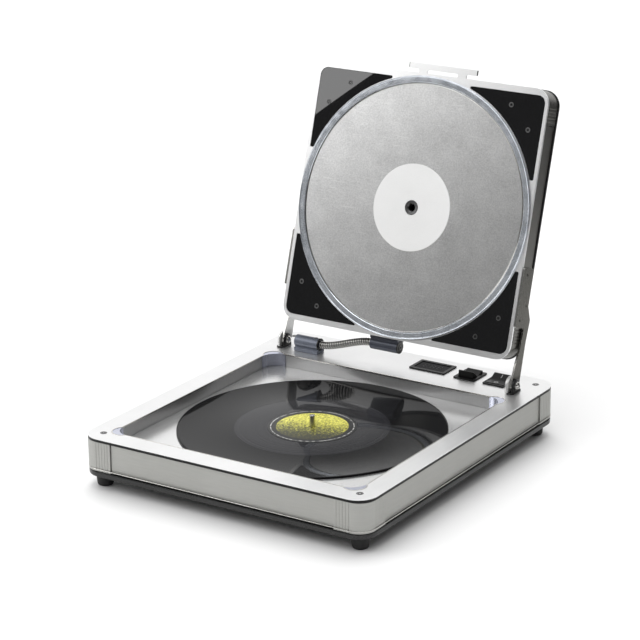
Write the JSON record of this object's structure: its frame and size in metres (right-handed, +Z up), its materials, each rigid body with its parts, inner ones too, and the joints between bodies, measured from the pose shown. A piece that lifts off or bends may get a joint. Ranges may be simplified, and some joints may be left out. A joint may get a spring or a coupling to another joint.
{
  "type": "record flattening press",
  "caption": "Flat metal case with a tray, turntable spindle and a hinged lid with a round heated plate that presses a warped record flat.",
  "frame": {"origin": "on the surface it stands on, under the middle of the whole part with the lid open", "axes": "+Z up, +Y from the front panel towards the hinged rear edge, +X to the right seen from the front"},
  "size_m": [0.3666, 0.4704, 0.3983],
  "materials": {
    "satin_silver": "satin anodised, fine grain",
    "anodised": "anodised, matt",
    "dark_anodised": "dark grey anodised, matt",
    "black_metal": "black anodised, semi-gloss",
    "gloss_black": "polished black",
    "black_plastic": "moulded, fine texture",
    "blue_grey": "blue-grey anodised",
    "polished": "ground plate, light grain",
    "steel": "nickel plated",
    "rubber": "matt",
    "vinyl": "pressed, fine grooves",
    "label_yellow": "printed paper",
    "white": "matt card",
    "clear_ring": "moulded, bluish grey",
    "board_green": "coated circuit board"
  },
  "bodies": {
    "base": {"top_skin": "satin_silver", "top_core": "black_metal", "corner_post_FL": "anodised", "corner_post_FR": "anodised", "corner_post_BL": "anodised", "corner_post_BR": "anodised", "front_panel": "anodised", "left_panel": "anodised", "right_panel": "anodised", "back_panel": "anodised", "bottom_plate": "black_metal", "foot_FL": "rubber", "foot_FR": "rubber", "foot_BL": "rubber", "foot_BR": "rubber", "tray_pan": "satin_silver", "lower_plate": "polished", "lower_heater_mat": "rubber", "tray_liner_FL": "blue_grey", "tray_liner_FR": "blue_grey", "tray_liner_BL": "blue_grey", "tray_liner_BR": "blue_grey", "spindle": "polished", "display_bezel": "black_plastic", "display_window": "gloss_black", "selector_bezel": "black_plastic", "power_bezel": "black_plastic", "mains_inlet": "black_plastic", "power_board": "board_green", "fan_frame": "black_plastic", "hinge_bracket_L": "steel", "hinge_bracket_R": "steel", "deck_gland": "blue_grey", "armoured_cable": "steel"},
    "lid": {"lid_bezel": "satin_silver", "lid_corner_panel_AL": "gloss_black", "lid_corner_panel_AR": "gloss_black", "lid_corner_panel_BL": "gloss_black", "lid_corner_panel_BR": "gloss_black", "lid_side_band": "dark_anodised", "lid_post_AL": "dark_anodised", "lid_post_AR": "dark_anodised", "lid_post_BL": "dark_anodised", "lid_post_BR": "dark_anodised", "lid_cover": "black_metal", "upper_plate": "polished", "plate_ring": "clear_ring", "lid_label_disc": "white", "centre_bushing": "polished", "pull_tab": "satin_silver", "hinge_arm_L": "steel", "hinge_arm_R": "steel", "lid_gland": "blue_grey"},
    "record": {"record": "vinyl", "record_label": "label_yellow"},
    "selector": {"selector_rocker": "black_plastic"},
    "power_switch": {"power_rocker": "black_plastic"},
    "fan": {"fan_rotor": "black_plastic"}
  },
  "joints": [
    {"name": "lid_hinge", "type": "hinge", "parent": "base", "child": "lid", "pos_m": [0, 0.12718, 0.0686], "axis": [1, 0, 0], "range_deg": [0, 107], "deforming": ["armoured_cable"]},
    {"name": "record_spin", "type": "hinge", "parent": "base", "child": "record", "pos_m": [0, -0.05242, 0.046], "axis": [0, 0, 1], "continuous": true},
    {"name": "selector_rock", "type": "hinge", "parent": "base", "child": "selector", "pos_m": [0.0863, 0.14918, 0.059], "axis": [1, 0, 0], "range_deg": [0, 21]},
    {"name": "power_rock", "type": "hinge", "parent": "base", "child": "power_switch", "pos_m": [0.1246, 0.14918, 0.059], "axis": [1, 0, 0], "range_deg": [-21, 0]},
    {"name": "fan_spin", "type": "hinge", "parent": "base", "child": "fan", "pos_m": [0.096, 0.16498, 0.04], "axis": [0, 1, 0], "continuous": true}
  ]
}
